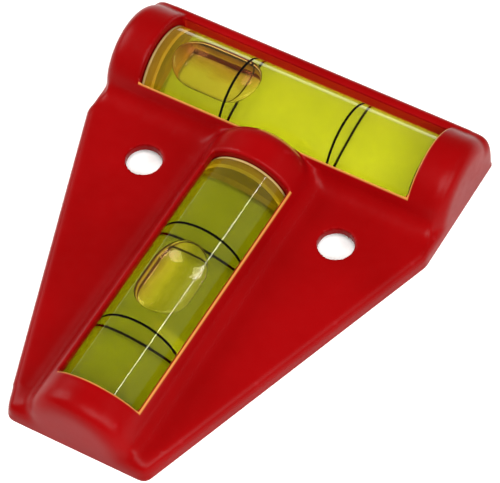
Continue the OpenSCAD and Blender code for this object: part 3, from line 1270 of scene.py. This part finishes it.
# %% Place the vials
head_vial = at_head(copy_of(vial))
stem_vial = at_stem(vial)
stem_vial.data.materials[VIAL_FINISHES.index(end_painted_reflection)] = stem_end_painted_light
finish_piece(head_vial, "head_vial", "level", "head_barrel", "clear_acrylic")
finish_piece(stem_vial, "stem_vial", "level", "stem_barrel", "clear_acrylic")
for name in ("head_cap", "stem_cap"):
    nodes[name].data.materials.clear()
    nodes[name].data.materials.append(acrylic)

# %% [markdown]
# ## Spirit
# The spirit fills the whole chamber, and the bubble lies in it, so that the bubble can slide to any place.
# Its upper skin is paler than the rest, because light that only enters there has passed through little dye.

# %% Fill the vials
CHAMBER_END = 39.0
LIQUID_GAP = 0.02
SKYWARDS = 0.02
spirit = chamber(VIAL_END_WALL + LIQUID_GAP, CHAMBER_END - LIQUID_GAP, LIQUID_GAP)
head_spirit = at_head(copy_of(spirit))
stem_spirit = at_stem(spirit)
for piece, dye in ((head_spirit, lit_head_dye), (stem_spirit, shaded_stem_dye)):
    for finish in (dye, spirit_top):
        piece.data.materials.append(finish)
    refinish(piece, spirit_top, lambda f: f.normal.z > SKYWARDS)
finish_piece(head_spirit, "head_spirit", "level", "head_liquid", "yellow_green_spirit")
finish_piece(stem_spirit, "stem_spirit", "level", "stem_liquid", "yellow_green_spirit")

# %% [markdown]
# ## Bubbles
# A bubble is a long bead pressed against the top of the bore: a bar with fully rounded ends, cut to the
# bore's curve, and then softened by a fine remesh, because air has no sharp edges. Smoothing shrinks it,
# so it is stretched back to its size.

# %% Shape the bubbles
CROWN = 4.8
BUBBLE_DEPTH = 2.8
BUBBLE_RADIUS = 4.5
BUBBLE_ROUNDING = (BUBBLE_RADIUS - 0.01, BUBBLE_RADIUS - 0.01)
BUBBLE_SIDES = 64
BUBBLE_GRID = 0.1
BUBBLE_PASSES = 200


def bubble(length):
    """A bubble under the top of the bore, with its middle at the origin of the vial's frame."""
    lift = CROWN - BUBBLE_DEPTH + BUBBLE_RADIUS
    reach = math.sqrt(BUBBLE_RADIUS**2 - (lift - CROWN) ** 2)
    half = length / 2 - reach + BUBBLE_RADIUS
    bead = round_bar(-half, half, BUBBLE_RADIUS, BUBBLE_SIDES)
    round_ends(bead, BUBBLE_ROUNDING, 16)
    moved(bead, (0, 0, lift))
    combine(bead, round_bar(-length, length, CROWN), "INTERSECT")
    size = bead.dimensions.copy()
    apply_step(bead, "REMESH", mode="VOXEL", voxel_size=BUBBLE_GRID)
    apply_step(bead, "SMOOTH", factor=SMOOTHING, iterations=BUBBLE_PASSES)
    pick(bead)
    bpy.ops.object.origin_set(type="ORIGIN_GEOMETRY", center="BOUNDS")
    bead.location.z = CROWN - size.z / 2
    bead.dimensions = size
    return settle(bead)


HEAD_BUBBLE = (12.5, LINE_MIDDLE - 11.3)
STEM_BUBBLE = (11.5, LINE_MIDDLE - 0.5)
head_air = at_head(moved(bubble(HEAD_BUBBLE[0]), (HEAD_BUBBLE[1], 0, 0)))
stem_air = at_stem(moved(bubble(STEM_BUBBLE[0]), (STEM_BUBBLE[1], 0, 0)))
finish_piece(head_air, "head_air", "head_bubble", "head_bubble", "air", air_in_head)
finish_piece(stem_air, "stem_air", "stem_bubble", "stem_bubble", "air", air_in_stem)

# %% [markdown]
# ## Level lines
# Each line is printed right round the vial in black ink, so it is seen twice: as an arc on the curved top,
# and through the spirit as a straight line on the flat underside. The ink fills its groove and wets the
# acrylic, so the bands are a hair deeper and wider than the grooves.

# %% Print the lines
INK_DEPTH = LINE_DEPTH + 0.005
INK_WIDTH = LINE_WIDTH + 0.01
INK_DEEP = (0.0006, 0.0007, 0.0006)
INK_WORN = (0.002, 0.002, 0.002)
black_ink, shader = new_finish("black_ink")
black = blended(black_ink, noise(black_ink, 3000), INK_DEEP, INK_WORN)
wire(black_ink, black, shader.inputs["Base Color"])
wire(black_ink, between(black_ink, noise(black_ink, 4000), 0.55, 0.75), shader.inputs["Roughness"])
shader.inputs["Specular IOR Level"].default_value = 0.02
LINES = [
    ("head_ink_left", "head_line_left", -1, at_head),
    ("head_ink_right", "head_line_right", 1, at_head),
    ("stem_ink_far", "stem_line_far", -1, at_stem),
    ("stem_ink_near", "stem_line_near", 1, at_stem),
]
for name, node_name, side, place in LINES:
    ring = band(side, 0, INK_DEPTH, INK_WIDTH)
    finish_piece(place(ring), name, "level", node_name, "black_ink", black_ink)
